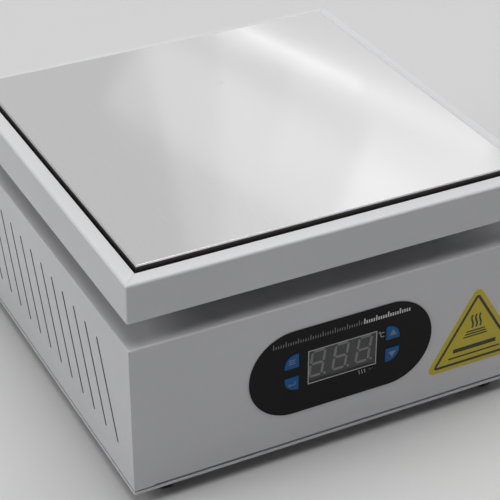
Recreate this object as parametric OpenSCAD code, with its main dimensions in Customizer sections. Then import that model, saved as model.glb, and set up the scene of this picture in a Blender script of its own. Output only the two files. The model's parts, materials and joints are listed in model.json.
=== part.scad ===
// Bench-top constant-temperature heating platform.
// Millimetres, +Z up. The origin is the centre of the foot plane, the control panel faces -Y
// and the power inlet faces +Y.

/* [Body] */
// Width and depth of the square body and of the top frame
body_w = 218; // [214:1:222]
// Height of the body's walls
body_h = 78.5; // [78:0.5:84]
// Thickness of the body's sheet metal
sheet_t = 1; // [1:0.1:1.2]
// Radius of the body's upper edges
body_edge_r = 0.8; // [0.4:0.1:1]
// Width of the inward flange along the bottom of the walls
flange_w = 10; // [8:1:12]

/* [Side vents] */
// Number of slanted slots in each side wall
vent_count = 12; // [4:1:12]
// Distance between neighbouring slots
vent_pitch = 14.25; // [10:0.25:14.5]
// Width of a slot
vent_w = 1.7; // [1:0.1:2]
// Height of a slot
vent_rise = 47.4; // [36:0.2:50]
// How far the top of a slot lies behind its bottom
vent_run = 20.5; // [0:0.5:22]

/* [Base and feet] */
// Height of the dark groove between the body and the base plate's edge
groove_h = 1.3; // [0.8:0.1:1.4]
// Thickness of the base plate
base_t = 1.5; // [1.5:0.1:2]
// Distance from the base plate's edge to its raised middle
groove_depth = 3; // [2:0.5:5]
// Diameter of a rubber foot
foot_d = 16; // [14:1:18]
// Height of a rubber foot
foot_h = 9.2; // [8:0.2:12]
// Distance of the feet from the middle, sideways
foot_x = 89; // [80:1:90]
// Distance of the feet from the middle, front to back
foot_y = 95; // [90:1:96]

/* [Heating head] */
// Width and depth of the heating plate
plate_w = 200; // [196:1:200]
// Thickness of the heating plate
plate_t = 8; // [8:0.5:9]
// Chamfer along the plate's upper edges
plate_chamfer = 0.6; // [0.5:0.1:2]
// Height of the plate's top above the frame
plate_proud = 2.7; // [2:0.1:3.2]
// Gap between the plate and the frame, all round
plate_gap = 1.25; // [0.8:0.05:2]
// Height of the frame's skirt
frame_h = 19.8; // [19.8:0.2:22]
// Thickness of the frame's sheet metal
frame_t = 1.5; // [1.2:0.1:1.5]
// Radius of the frame's upper edges
frame_edge_r = 1.6; // [1.5:0.1:3]
// Open gap between the body and the frame
air_gap = 14.3; // [12:0.1:18]

/* [Control panel] */
// Length of the dark overlay, which has round ends
overlay_w = 99; // [96:1:102]
// Height of the overlay
overlay_h = 47; // [45:1:48]
// Thickness of the overlay
overlay_t = 0.5; // [0.4:0.1:0.6]
// Height of the overlay's centre above the body's lower edge
overlay_z = 40.1; // [38:0.1:42]
// Width of the display window
window_w = 37.4; // [36:0.1:37.4]
// Height of the display window
window_h = 19.2; // [18:0.1:19.2]
// Width of a key
key_w = 7.5; // [7:0.1:8]
// Height of a key
key_h = 7.6; // [7:0.1:8]
// Radius of a key's outer corner
key_r = 6.4; // [4:0.1:6.8]
// Travel of a key
key_travel = 0.5; // [0.3:0.1:0.6]

/* [Rear panel] */
// Distance of the power inlet from the middle
inlet_x = 62; // [58:1:66]
// Distance of the power switch from the middle
switch_x = 10; // [6:1:14]
// Height of the inlet and the switch above the body's lower edge
rear_z = 37.3; // [34:0.1:40]
// Angle that the rocker turns through
rocker_turn = 18; // [12:1:18]

/* [Hidden] */
$fn = 48;

// How far a cutting shape runs past the face that it opens
over = 1;
// Play between a hole and what passes through it
loose = 0.2;
// Play between a thread and its tapped hole
thread_play = 0.02;
// Small distance that keeps two faces out of one plane
hair = 0.1;

// Kinds of screw: shank diameter, head diameter and head height
m3 = [3, 5.6, 1.6];
m4 = [4, 7, 2.6];
m5 = [5, 9, 3];

// Width and depth of a screw's hexagon socket, as shares of its head
socket_share = [0.5, 0.6];

// Kinds of nut: width across flats and height
m3_nut = [5.5, 2.4];
m4_nut = [7, 3.2];

// Levels, counted from the floor
pan_z0 = foot_h;
body_z0 = pan_z0 + base_t;
lip_z1 = body_z0 - groove_h;
lip_z0 = lip_z1 - base_t;
body_z1 = body_z0 + body_h;
ceiling_z = body_z1 - sheet_t;
frame_z0 = body_z1 + air_gap;
frame_z1 = frame_z0 + frame_h;
plate_z1 = frame_z1 + plate_proud;
plate_z0 = plate_z1 - plate_t;
heater_t = 1.2;
heater_z0 = plate_z0 - heater_t;
clamp_t = 1.5;
clamp_z0 = heater_z0 - clamp_t;
tray_t = 1.2;
tray_z0 = frame_z0 + 0.5;
tray_z1 = tray_z0 + tray_t;

// Body and base
wall = body_w / 2;
wall_in = wall - sheet_t;
corner_tab_w = 10;
corner_tab_h = 0.5;
base_screw_at = wall_in - flange_w / 2 - 1.5;
base_screw_span = 60;
base_screw_reach = 5;
vent_z = body_z0 + 39.5;
vent_mid_y = -2.8;
foot_boss_d = 9;
foot_recess = 4;
foot_bore_r = 2.1;
foot_edge = [1, 1.5];

// Heating head
opening_w = plate_w + 2 * plate_gap;
frame_in = wall - frame_t;
frame_corner_r = 1;
seam_w = 0.25;
seam_depth = 0.15;
post_d = 6;
post_tap = 9;
post_at = frame_in - 3.9;
tray_w = 2 * (frame_in - 0.5);
tray_edge_h = 6;
tray_edge_len = 190;
heater_w = 180;
pad_w = 186;
pad_window = [84, 70];
stand_at = 75;
stand_d = 9.5;
stand_hole_d = 11;
stand_tap = 9;
stud_len = 5.5;
pillar_d = 12;
clamp_spots = [[-60, -40], [60, -40], [-60, 40], [60, 40], [0, -75], [0, 75]];
heater_posts = [[-30, -14], [30, -14]];
heater_post_d = 3;
post_opening_d = 8;
screw_opening_d = 9;
probe_channel = [6, 4];
cutout_y = 26;
cutout_cap = [16.4, 4];
cutout_can = [14.6, 8];
cutout_blade = [27, 6.4, 0.8];
cutout_blade_drop = 6.3;
probe_x = -30;
probe_z = plate_z0 + 1.9;
probe_d = 3;
probe_reach = 68;
conduit_d = 20;
conduit_bore = 15;
conduit_below = 3;
conduit_above = 0.8;
collar_d = 29;
collar_t = 2;
collar_play = 0.5;

// Control panel, measured from the overlay's centre
panel_x = -0.3;
panel_z = body_z0 + overlay_z;
window_z = 0.6;
module_size = [37.6, 19];
module_hole = [38, 19.6];
key_x = 27.4;
upper_key_z = 6.9;
lower_key_z = -5.8;
key_proud = 0.3;
key_play = 0.15;
key_lip = 1;
lip_t = 0.8;
lip_clear = 0.1;
plunger_d = 3.5;
plunger_in = 0.5;
switch_hole = plunger_in + key_travel + 0.5;
light_d = 3;
light_x = 15.6;
light_z = -11.1;
front_y = -wall;
light_y = front_y - overlay_t + 1.4;
board_y = front_y + 8.1;
board_t = 1.6;
board_size = [92, 44];
board_hole = [42, 18];
standoff_d = 6;
standoff_floor = 1;
board_screw_len = 6.6;
chip_size = [24, 4, 8];
chip_z = 2;
capacitor_size = [9, 13];
capacitor_x = [-20, -7];
capacitor_z = 8;
board_block_at = [-38, board_y + board_t, 30.5];
board_block_size = [30, 10, 10];
board_way_pitch = 5;
board_way_z = 4.5;
board_screw_hole = [3.6, 5];
board_wire_hole = [2.8, 3];
switch_t = 3.5;
switch_w = 6;
digit_h = 15;
digit_w = 8;
digit_pitch = 12.6;
digit_shift = [-0.8, 1];
digit_slant = 8;
segment_t = 1.3;
segment_gap = 0.35;
point_d = 1.4;
point_x = 5.1;
digit_t = 0.08;
module_sunk = 0.1;
window_clear = 0.02;

// Warning sticker
sticker_x = 75.4;
sticker_z = body_z0 + 16;
sticker_base = 45.8;
sticker_rise = 37.5;
sticker_r = 3;
sticker_t = 0.2;

// Rear panel
rear_y = wall;
inlet_z = body_z0 + rear_z;
inlet_flange_t = 2.5;
inlet_face = rear_y + inlet_flange_t;
inlet_depth = 28;
inlet_body_size = [28, 33];
inlet_body_play = [0.4, 0.4];
inlet_rim = [1, 1.5];
inlet_ears = [50, 17];
inlet_ear_tip = 5.1;
inlet_screw_x = 20;
inlet_screw_in = 4;
countersink = [3.2, 6.4, 1.6];
flat_head = [3, 5.8, 1.4];
flat_head_sunk = 0.1;
cross_slot = [3.2, 1.6, 0.7];
socket_z = 4.6;
socket_size = [24.8, 17];
socket_bevel = 5;
socket_depth = 16.5;
pin_size = [2, 4];
pin_x = 7;
pin_z = 2;
pin_tail = 8;
pin_sunk = 2;
drawer_z = -10.7;
drawer_size = [24, 6.8];
drawer_face = [25.4, 8.4];
drawer_face_t = 1.5;
drawer_len = 26;
drawer_play = 0.1;
fuse_d = 5;
fuse_len = 20;
fuse_cap_len = 4.5;
fuse_depths = [3.5, 13];
fuse_play = 0.3;
fuse_glass_d = 4.4;
finger_slot = [12, 0.8, 1.2];
finger_z = 1.6;

// Power switch
rocker_a = rocker_turn / 2;
switch_size = [12.7, 19];
switch_play = [0.3, 0.3];
bezel_size = [15, 21];
bezel_t = 1.6;
switch_depth = 20;
switch_floor = 2;
switch_well_play = [0.3, 0.4];
rocker_w = 10.4;
rocker_r = 8.6;
rocker_low = 2.8;
rocker_back = 3;
rocker_stem = [6.5, 3];
pivot_y = rear_y - 2;
pivot_d = 2.4;
pivot_play = 0.05;
pivot_out = 0.75;
blade_size = [0.8, 4.8];
blade_len = 8;
blade_x = 3.5;
blade_z = 6;

// Parts that stand on the base plate
floor_z = body_z0;
relay_at = [-50, 20];
relay_size = [45, 58, 23];
relay_ledge = 12;
relay_ledge_drop = 8;
relay_screw_y = 23;
relay_lug_x = 12;
lug_size = [6, 2.5];
block_at = [52, 30];
block_size = [60, 22];
block_base_h = 10;
block_wall_h = 14;
block_wall_t = 1.2;
block_ways = 5;
block_pitch = 11;
block_screw_y = 6.5;
core_at = [55, -50];
core_size = [42, 18, 35];
core_limb = 14;
core_window = [7, 21];
core_lift = 2.3;
strap_w = 58;
coil_gap = 0.2;
coil_reach = 7;
stud_at = [92, 66];
stud_h = 16;
stud_nut_gap = 4.5;

// Wire routes, from one terminal to the other
wire_sides = 8;
wire_side_hint = [0.3, 0.5, 0.81];
mains_r = 1.2;
signal_r = 0.8;
sensor_r = 1.3;
route_inlet_to_switch_live = [
    [55, 72.4, 51], [55, 66, 51], [50, 60, 52], [30, 58, 54], [18, 64, 54], [13.5, 72, 54], [13.5, 80.6, 54]
];
route_inlet_to_switch_neutral = [
    [69, 72.4, 51], [69, 64, 51], [62, 54, 54], [30, 50, 60], [10, 58, 60], [6.5, 68, 56], [6.5, 80.6, 54]
];
route_switch_to_block_live = [
    [13.5, 80.6, 42], [13.5, 72, 42], [18, 60, 38], [28, 52, 28], [30, 46, 22.8], [30, 40.5, 22.2]
];
route_switch_to_block_neutral = [
    [6.5, 80.6, 42], [6.5, 70, 42], [20, 52, 46], [36, 50, 34], [41, 47, 24], [41, 40.5, 22.2]
];
route_block_to_relay = [
    [52, 40.5, 22.2], [52, 50, 20], [40, 60, 16], [0, 66, 20], [-50, 70, 30], [-62, 56, 28], [-62, 46.4, 27.4]
];
route_inlet_to_stud = [
    [62, 72.4, 55], [63, 68, 57], [78, 60, 57], [90, 50, 46], [92, 44, 30], [92, 50, 19], [92, 56, 17],
    [92, 61.6, 17]
];
route_stud_to_plate = [
    [87.6, 66, 17], [82, 66, 19], [78, 58, 32], [62, 40, 58], [34, 24, 74], [10, 8, 80], [3.8, 3.2, 85],
    [3.8, 3.2, 106.5], [6, 4, 109], [12, 5, 111.5], [12, 5, 115]
];
route_block_to_heater = [
    [74, 19.5, 22.2], [74, 12, 24], [66, 4, 42], [40, -4, 66], [12, -4, 79], [4.7, -1.7, 85],
    [4.7, -1.7, 106.5], [8, -5, 109], [20, -12, 109], [28.3, -14, 109]
];
route_heater_to_cutout = [
    [-31.8, -14, 110.2], [-36, -12, 110.2], [-38, 0, 110.2], [-34, 18, 110.2], [-22, 26, 109.4],
    [-13.8, 26, 109.4]
];
route_cutout_to_relay = [
    [13.7, 26, 109.4], [15.5, 26, 109.4], [17, 22, 109.4], [12, 12, 109], [3, 8, 109.4], [-0.9, 4.9, 106.5],
    [-0.9, 4.9, 84], [-8, 12, 78], [-20, 40, 66], [-34, 58, 40], [-38, 54, 28.5], [-38, 46.4, 27.4]
];
route_sensor = [
    [-30, 102.1, 119.9], [-30, 103, 119.9], [-30, 104.2, 119], [-30, 104.4, 117], [-30, 104.4, 111],
    [-30, 101, 107], [-30, 60, 106.6], [-30, 36, 106.6], [-24, 16, 106.6], [-13, 5, 107.8], [-9, 2.6, 108.6],
    [-5.4, 1.2, 107.6], [-4.9, 0.9, 105], [-4.9, 0.9, 84], [-8, -6, 78], [-20, -40, 66], [-35, -78, 50],
    [-35.5, -84, 37], [-35.5, -87, 35], [-35.5, -89, 35]
];
route_relay_minus = [
    [-62, -6.4, 27.2], [-62, -14, 28], [-58, -30, 30], [-40, -70, 34], [-30.5, -82, 35], [-30.5, -89, 35]
];
route_relay_plus = [
    [-38, -6.4, 27.2], [-38, -14, 28], [-34, -40, 30], [-25.5, -78, 35], [-25.5, -89, 35]
];
route_coil_to_board_a = [
    [48, -66.4, 30], [44, -74, 30], [10, -80, 33], [-14, -81, 35], [-15.5, -84, 35], [-15.5, -89, 35]
];
route_coil_to_board_b = [
    [62, -66.4, 26], [58, -80, 24], [10, -86, 23], [-18, -84, 25], [-20.5, -82, 33], [-20.5, -85, 35],
    [-20.5, -89, 35]
];
route_block_to_coil_a = [
    [52, 19.5, 22.2], [52, 12, 24], [50, -10, 36], [48, -28, 36], [48, -33.6, 34]
];
route_block_to_coil_b = [
    [63, 19.5, 22.2], [63, 12, 24], [63, -10, 32], [62, -28, 32], [62, -33.6, 30]
];

// A box between two opposite corners
module box(low, high) {
    translate(low) cube(high - low);
}

// A box with a square plan about the middle
module square_box(w, z0, z1) {
    box([-w / 2, -w / 2, z0], [w / 2, w / 2, z1]);
}

// An outline drawn in X and Z, made solid from y0 to y1
module xz_slab(y0, y1) {
    translate([0, y1, 0]) rotate([90, 0, 0]) linear_extrude(y1 - y0) children();
}

// An outline drawn in Y and Z, made solid from x0 to x1
module yz_slab(x0, x1) {
    translate([x0, 0, 0]) rotate([90, 0, 90]) linear_extrude(x1 - x0) children();
}

// One copy at each corner of a rectangle
module at_corners(x, y) {
    for (side = [-1, 1], end = [-1, 1])
        translate([side * x, end * y, 0]) children();
}

// A cylinder along +Y
module y_cylinder(d, y0, y1) {
    translate([0, y0, 0]) rotate([-90, 0, 0]) cylinder(d = d, h = y1 - y0);
}

// A flat ring or tube
module tube(outer, bore, h) {
    difference() {
        cylinder(d = outer, h = h);
        translate([0, 0, -over]) cylinder(d = bore, h = h + 2 * over);
    }
}

// A rectangle about the middle
module rect(size) {
    square(size, center = true);
}

// A rectangle with round corners
module round_rect(size, r) {
    rect([size.x, size.y - 2 * r]);
    rect([size.x - 2 * r, size.y]);
    for (side = [-1, 1], end = [-1, 1])
        translate([side * (size.x / 2 - r), end * (size.y / 2 - r)]) circle(r);
}

// A screw with a round head below z = 0, its shank upwards and a hexagon socket in the head.
// A kind of screw is [shank diameter, head diameter, head height].
module screw_up(kind, length) {
    difference() {
        union() {
            cylinder(d = kind[0], h = length);
            translate([0, 0, -kind[2]]) cylinder(d = kind[1], h = kind[2]);
        }
        translate([0, 0, -kind[2] - over])
            cylinder(d = kind[1] * socket_share.x, h = kind[2] * socket_share.y + over, $fn = 6);
    }
}

// The same screw turned over, with its head on top
module screw_down(kind, length) {
    rotate([180, 0, 0]) screw_up(kind, length);
}

// A hexagon nut standing on z = 0
module nut(d, across_flats, h) {
    difference() {
        cylinder(d = across_flats / cos(30), h = h, $fn = 6);
        translate([0, 0, -over]) cylinder(d = d + 2 * thread_play, h = h + 2 * over);
    }
}

// Section of a block whose upper edges are rounded
module round_top_section(w, z0, z1, r) {
    translate([-w / 2, z0]) square([w, z1 - r - z0]);
    translate([r - w / 2, z0]) square([w - 2 * r, z1 - z0]);
    for (side = [-1, 1])
        translate([side * (w / 2 - r), z1 - r]) circle(r);
}

// A square block whose four upper edges are rounded
module round_top_block(w, z0, z1, r) {
    intersection() {
        xz_slab(-w / 2, w / 2) round_top_section(w, z0, z1, r);
        yz_slab(-w / 2, w / 2) round_top_section(w, z0, z1, r);
    }
}

// Section of the heating plate, with its two upper edges chamfered
module plate_section() {
    half = plate_w / 2;
    c = plate_chamfer;
    polygon([
        [-half, plate_z0], [half, plate_z0], [half, plate_z1 - c], [half - c, plate_z1],
        [c - half, plate_z1], [-half, plate_z1 - c]
    ]);
}

module heating_plate() color("silver") difference() {
    intersection() {
        xz_slab(-plate_w / 2, plate_w / 2) plate_section();
        yz_slab(-plate_w / 2, plate_w / 2) plate_section();
    }
    at_corners(stand_at, stand_at)
        translate([0, 0, plate_z0 - over]) cylinder(d = m4[0] + 2 * thread_play, h = stud_len + 0.5 + over);
    for (spot = clamp_spots)
        translate([spot.x, spot.y, plate_z0 - over])
            cylinder(d = m4[0] + 2 * thread_play, h = stud_len + 0.5 + over);
    translate([probe_x, 0, probe_z])
        y_cylinder(probe_d + loose, plate_w / 2 - probe_reach - 1, plate_w / 2 + over);
}

module heater_element() color("tan") {
    difference() {
        box([-heater_w / 2, -heater_w / 2, heater_z0], [heater_w / 2, heater_w / 2, plate_z0]);
        at_corners(stand_at, stand_at)
            translate([0, 0, heater_z0 - over]) cylinder(d = stand_hole_d, h = heater_t + 2 * over);
        for (spot = clamp_spots)
            translate([spot.x, spot.y, heater_z0 - over]) cylinder(d = m4[0] + 1, h = heater_t + 2 * over);
    }
    for (spot = heater_posts)
        translate([spot.x, spot.y, tray_z1 + 1]) cylinder(d = heater_post_d, h = heater_z0 - tray_z1);
}

module heater_clamp_plate() color("darkgray") difference() {
    box([-heater_w / 2, -heater_w / 2, clamp_z0], [heater_w / 2, heater_w / 2, heater_z0]);
    translate([0, 0, clamp_z0 - over]) {
        at_corners(stand_at, stand_at) cylinder(d = stand_hole_d, h = clamp_t + 2 * over);
        for (spot = clamp_spots)
            translate([spot.x, spot.y, 0]) cylinder(d = m4[0] + 2 * loose, h = clamp_t + 2 * over);
        for (spot = heater_posts)
            translate([spot.x, spot.y, 0]) cylinder(d = post_opening_d, h = clamp_t + 2 * over);
    }
}

module clamp_screws() color("gainsboro")
    for (spot = clamp_spots)
        translate([spot.x, spot.y, clamp_z0]) screw_up(m4, heater_t + clamp_t + stud_len);

module insulation_pad() color("ivory") difference() {
    box([-pad_w / 2, -pad_w / 2, tray_z1], [pad_w / 2, pad_w / 2, clamp_z0]);
    translate([0, 0, tray_z1 - over]) linear_extrude(clamp_z0 - tray_z1 + 2 * over) rect(pad_window);
    box(
        [probe_x - probe_channel.x / 2, 0, tray_z1 - over],
        [probe_x + probe_channel.x / 2, pad_w, tray_z1 + probe_channel.y]
    );
    translate([0, 0, tray_z1 - over]) {
        at_corners(stand_at, stand_at) cylinder(d = stand_hole_d, h = clamp_z0 - tray_z1 + 2 * over);
        for (spot = clamp_spots)
            translate([spot.x, spot.y, 0]) cylinder(d = screw_opening_d, h = clamp_z0 - tray_z1 + 2 * over);
    }
}

module top_frame() color("whitesmoke") difference() {
    union() {
        difference() {
            intersection() {
                round_top_block(body_w, frame_z0, frame_z1, frame_edge_r);
                linear_extrude(frame_z1 + over) round_rect([body_w, body_w], frame_corner_r);
            }
            box([-frame_in, -frame_in, frame_z0 - over], [frame_in, frame_in, frame_z1 - frame_t]);
        }
        at_corners(post_at, post_at)
            translate([0, 0, tray_z1]) cylinder(d = post_d, h = frame_z1 - 0.5 - tray_z1);
    }
    box([-opening_w / 2, -opening_w / 2, frame_z0], [opening_w / 2, opening_w / 2, frame_z1 + over]);
    at_corners(post_at, post_at)
        translate([0, 0, tray_z1 - over]) cylinder(d = m3[0] + 2 * thread_play, h = post_tap + over);
    for (turn = [45:90:315])
        rotate([0, 0, turn]) box(
            [opening_w * sqrt(0.5) - over, -seam_w / 2, frame_z1 - seam_depth],
            [wall * sqrt(2), seam_w / 2, frame_z1 + over]
        );
}

module heat_shield_tray() color("silver") difference() {
    union() {
        box([-tray_w / 2, -tray_w / 2, tray_z0], [tray_w / 2, tray_w / 2, tray_z1]);
        for (turn = [0:90:270])
            rotate([0, 0, turn]) box(
                [tray_w / 2 - tray_t, -tray_edge_len / 2, tray_z0],
                [tray_w / 2, tray_edge_len / 2, tray_z1 + tray_edge_h]
            );
    }
    translate([0, 0, tray_z0 - over]) {
        at_corners(stand_at, stand_at) cylinder(d = m5[0] + 2 * loose, h = tray_t + 2 * over);
        at_corners(post_at, post_at) cylinder(d = m3[0] + 2 * loose, h = tray_t + 2 * over);
        cylinder(d = conduit_d + loose, h = tray_t + 2 * over);
    }
}

module tray_screws() color("gainsboro")
    at_corners(post_at, post_at) translate([0, 0, tray_z0]) screw_up(m3, tray_t + post_tap - 1);

module plate_standoffs() color("lightsteelblue")
    at_corners(stand_at, stand_at) translate([0, 0, tray_z1]) difference() {
        union() {
            cylinder(d = stand_d, h = plate_z0 - tray_z1);
            cylinder(d = m4[0], h = plate_z0 - tray_z1 + stud_len);
        }
        translate([0, 0, -over]) cylinder(d = m5[0] + 2 * thread_play, h = stand_tap + over);
    }

module support_pillars() color("silver")
    at_corners(stand_at, stand_at)
        translate([0, 0, body_z1]) tube(pillar_d, m5[0] + 2 * loose, tray_z0 - body_z1);

module pillar_bolts() color("gainsboro")
    at_corners(stand_at, stand_at)
        translate([0, 0, ceiling_z]) screw_up(m5, tray_z1 - ceiling_z + stand_tap - 0.5);

module lead_conduit() color("dimgray") {
    translate([0, 0, ceiling_z - conduit_below])
        tube(conduit_d, conduit_bore, tray_z1 + conduit_above - ceiling_z + conduit_below);
    translate([0, 0, body_z1]) tube(collar_d, conduit_d - collar_play, collar_t);
}

module thermal_cutout() color("dimgray") translate([0, cutout_y, 0]) {
    translate([0, 0, clamp_z0 - cutout_cap.y]) cylinder(d = cutout_cap.x, h = cutout_cap.y);
    translate([0, 0, clamp_z0 - cutout_can.y]) cylinder(d = cutout_can.x, h = cutout_can.y - over);
    translate([-cutout_blade.x / 2, -cutout_blade.y / 2, clamp_z0 - cutout_blade_drop])
        cube(cutout_blade);
}

module temperature_probe() color("silver")
    translate([probe_x, 0, probe_z]) y_cylinder(probe_d, plate_w / 2 - probe_reach, plate_w / 2 + 2);

// One slanted slot, cut along X through a wall
module vent_slot() {
    length = norm([vent_rise, vent_run]) - vent_w;
    rotate([-atan2(vent_run, vent_rise), 0, 0]) {
        cube([4 * sheet_t, vent_w, length], center = true);
        for (end = [-1, 1])
            translate([0, 0, end * length / 2])
                rotate([0, 90, 0]) cylinder(d = vent_w, h = 4 * sheet_t, center = true);
    }
}

module body_shell() color("whitesmoke") difference() {
    union() {
        round_top_block(body_w, body_z0, body_z1, body_edge_r);
        for (side = [-1, 1])
            translate([side * (wall - corner_tab_w / 2), 0, 0]) box(
                [-corner_tab_w / 2, front_y, body_z0 - corner_tab_h],
                [corner_tab_w / 2, front_y + sheet_t, body_z0 + over]
            );
    }
    box([-wall_in, -wall_in, body_z0 + sheet_t], [wall_in, wall_in, ceiling_z]);
    box(
        [flange_w - wall_in, flange_w - wall_in, body_z0 - over],
        [wall_in - flange_w, wall_in - flange_w, body_z0 + sheet_t + over]
    );
    for (side = [-1, 1], i = [0:vent_count - 1])
        translate([side * wall, vent_mid_y + (i - (vent_count - 1) / 2) * vent_pitch, vent_z]) vent_slot();
    panel_openings();
    rear_openings();
    at_corners(stand_at, stand_at)
        translate([0, 0, ceiling_z - over]) cylinder(d = m5[0] + 2 * loose, h = sheet_t + 2 * over);
    translate([0, 0, ceiling_z - over]) cylinder(d = conduit_d + loose, h = sheet_t + 2 * over);
    for (turn = [0:90:270], end = [-1, 1])
        rotate([0, 0, turn]) translate([base_screw_at, end * base_screw_span, body_z0 - over])
            cylinder(d = m3[0] + 2 * thread_play, h = sheet_t + 2 * over);
}

// The openings in the front wall behind the overlay
module panel_openings() xz_slab(front_y - over, front_y + sheet_t + over) translate([panel_x, panel_z]) {
    translate([0, window_z]) rect(module_hole);
    key_outlines(key_play);
    translate([light_x, light_z]) circle(d = light_d + loose);
}

// The openings in the rear wall
module rear_openings() xz_slab(rear_y - sheet_t - over, rear_y + over) {
    translate([inlet_x, inlet_z]) {
        rect(inlet_body_size + inlet_body_play);
        for (side = [-1, 1])
            translate([side * inlet_screw_x, 0]) circle(d = m3[0] + 2 * loose);
    }
    translate([switch_x, inlet_z]) rect(switch_size + switch_play);
}

module base_plate() color("gainsboro") difference() {
    union() {
        square_box(body_w, lip_z0, lip_z1);
        square_box(body_w - 2 * groove_depth, pan_z0, body_z0);
    }
    square_box(body_w - 2 * (groove_depth + base_t), lip_z0 - over, pan_z0);
    translate([0, 0, pan_z0 - over]) {
        at_corners(foot_x, foot_y) cylinder(d = m4[0] + 2 * thread_play, h = base_t + 2 * over);
        for (turn = [0:90:270], end = [-1, 1])
            rotate([0, 0, turn]) translate([base_screw_at, end * base_screw_span, 0])
                cylinder(d = m3[0] + 2 * loose, h = base_t + 2 * over);
        for (end = [-1, 1])
            translate([relay_at.x, relay_at.y + end * relay_screw_y, 0])
                cylinder(d = m4[0] + 2 * thread_play, h = base_t + 2 * over);
        translate([stud_at.x, stud_at.y, 0]) cylinder(d = m4[0] + 2 * thread_play, h = base_t + 2 * over);
    }
}

module base_screws() color("gainsboro")
    for (turn = [0:90:270], end = [-1, 1])
        rotate([0, 0, turn])
            translate([base_screw_at, end * base_screw_span, pan_z0]) screw_up(m3, base_t + base_screw_reach);

module rubber_feet() color("black")
    at_corners(foot_x, foot_y) rotate_extrude() polygon([
        [foot_bore_r, foot_h], [foot_d / 2, foot_h], [foot_d / 2, foot_edge.y],
        [foot_d / 2 - foot_edge.x, 0], [foot_boss_d / 2, 0], [foot_boss_d / 2, foot_recess],
        [foot_bore_r, foot_recess]
    ]);

module foot_screws() color("gainsboro")
    at_corners(foot_x, foot_y)
        translate([0, 0, foot_recess]) screw_up(m4, foot_h + base_t - foot_recess - hair);

// A key's outline, with one large round corner at its upper left
module key_outline(grow) {
    w = key_w + 2 * grow;
    h = key_h + 2 * grow;
    r = key_r + grow;
    translate([-w / 2, -h / 2]) {
        square([w, h - r]);
        translate([r, 0]) square([w - r, h]);
        intersection() {
            translate([r, h - r]) circle(r);
            square([w, h]);
        }
    }
}

// The same outline at its place, turned so that the round corner points away from the display
module key_outline_at(side, end, grow) {
    translate([side * key_x, end > 0 ? upper_key_z : lower_key_z])
        mirror([side > 0 ? 1 : 0, 0]) mirror([0, end < 0 ? 1 : 0]) key_outline(grow);
}

module key_outlines(grow) {
    for (side = [-1, 1], end = [-1, 1]) key_outline_at(side, end, grow);
}

// A keycap with a retaining lip behind the wall and a plunger that enters its switch
module key(side, end) translate([panel_x, 0, panel_z]) {
    lip_y = front_y + sheet_t + lip_clear;
    xz_slab(front_y - overlay_t - key_proud, lip_y + lip_t / 2) key_outline_at(side, end, 0);
    xz_slab(lip_y, lip_y + lip_t) key_outline_at(side, end, key_lip);
    translate([side * key_x, 0, end > 0 ? upper_key_z : lower_key_z])
        y_cylinder(plunger_d, lip_y + lip_t / 2, board_y - switch_t + plunger_in);
}

module menu_key() color("royalblue") key(-1, 1);

module set_key() color("royalblue") key(-1, -1);

module up_key() color("royalblue") key(1, 1);

module down_key() color("royalblue") key(1, -1);

module control_overlay() color([0.09, 0.09, 0.1])
    xz_slab(front_y - overlay_t, front_y) translate([panel_x, panel_z]) difference() {
        union() {
            rect([overlay_w - overlay_h, overlay_h]);
            for (side = [-1, 1])
                translate([side * (overlay_w - overlay_h) / 2, 0]) circle(d = overlay_h, $fn = 96);
        }
        translate([0, window_z]) rect([window_w, window_h]);
        key_outlines(key_play);
        translate([light_x, light_z]) circle(d = light_d + loose);
    }

module display_window() color([0.3, 0.3, 0.32, 0.5])
    xz_slab(front_y - overlay_t, front_y - digit_t - window_clear)
        translate([panel_x, panel_z + window_z]) rect([window_w, window_h]);

module display_module() color("dimgray")
    xz_slab(front_y + module_sunk, board_y) translate([panel_x, panel_z + window_z]) rect(module_size);

// Slants a point of a digit to the right
function slanted(p) = [p.x + p.y * tan(digit_slant), p.y];

// A six-sided bar from a to b, shorter than the way between them by a gap at each end
module segment(a, b) {
    way = (b - a) / norm(b - a);
    across = [-way.y, way.x] * segment_t / 2;
    inset = way * segment_t / 2;
    from = a + way * segment_gap;
    to = b - way * segment_gap;
    polygon([for (p = [from, from + inset + across, to - inset + across, to, to - inset - across,
        from + inset - across]) slanted(p)]);
}

// Seven segments and a decimal point about the middle of one digit
module digit() {
    x = (digit_w - segment_t) / 2;
    y = (digit_h - segment_t) / 2;
    for (end = [-1, 0, 1]) segment([-x, end * y], [x, end * y]);
    for (side = [-1, 1], end = [-1, 1]) segment([side * x, 0], [side * x, end * y]);
    translate(slanted([point_x, -y])) circle(d = point_d);
}

module display_digits() color("gray")
    xz_slab(front_y + module_sunk - digit_t, front_y + module_sunk) translate([panel_x, panel_z + window_z])
        for (i = [-1:1]) translate([i * digit_pitch + digit_shift.x, digit_shift.y]) digit();

module key_switches() color("black")
    for (side = [-1, 1], z = [upper_key_z, lower_key_z])
        translate([panel_x + side * key_x, 0, panel_z + z]) difference() {
            box([-switch_w / 2, board_y - switch_t, -switch_w / 2], [switch_w / 2, board_y, switch_w / 2]);
            y_cylinder(plunger_d + loose, board_y - switch_t - over, board_y - switch_t + switch_hole);
        }

module output_light() color("darkred") translate([panel_x + light_x, 0, panel_z + light_z]) {
    translate([0, light_y, 0]) sphere(d = light_d);
    y_cylinder(light_d, light_y, board_y);
}

module control_board() color("darkgreen") difference() {
    xz_slab(board_y, board_y + board_t) translate([panel_x, panel_z]) rect(board_size);
    translate([panel_x, 0, panel_z]) for (x = [-1, 1], z = [-1, 1])
        translate([x * board_hole.x, 0, z * board_hole.y])
            y_cylinder(m3[0] + 2 * loose, board_y - over, board_y + board_t + over);
}

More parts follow.
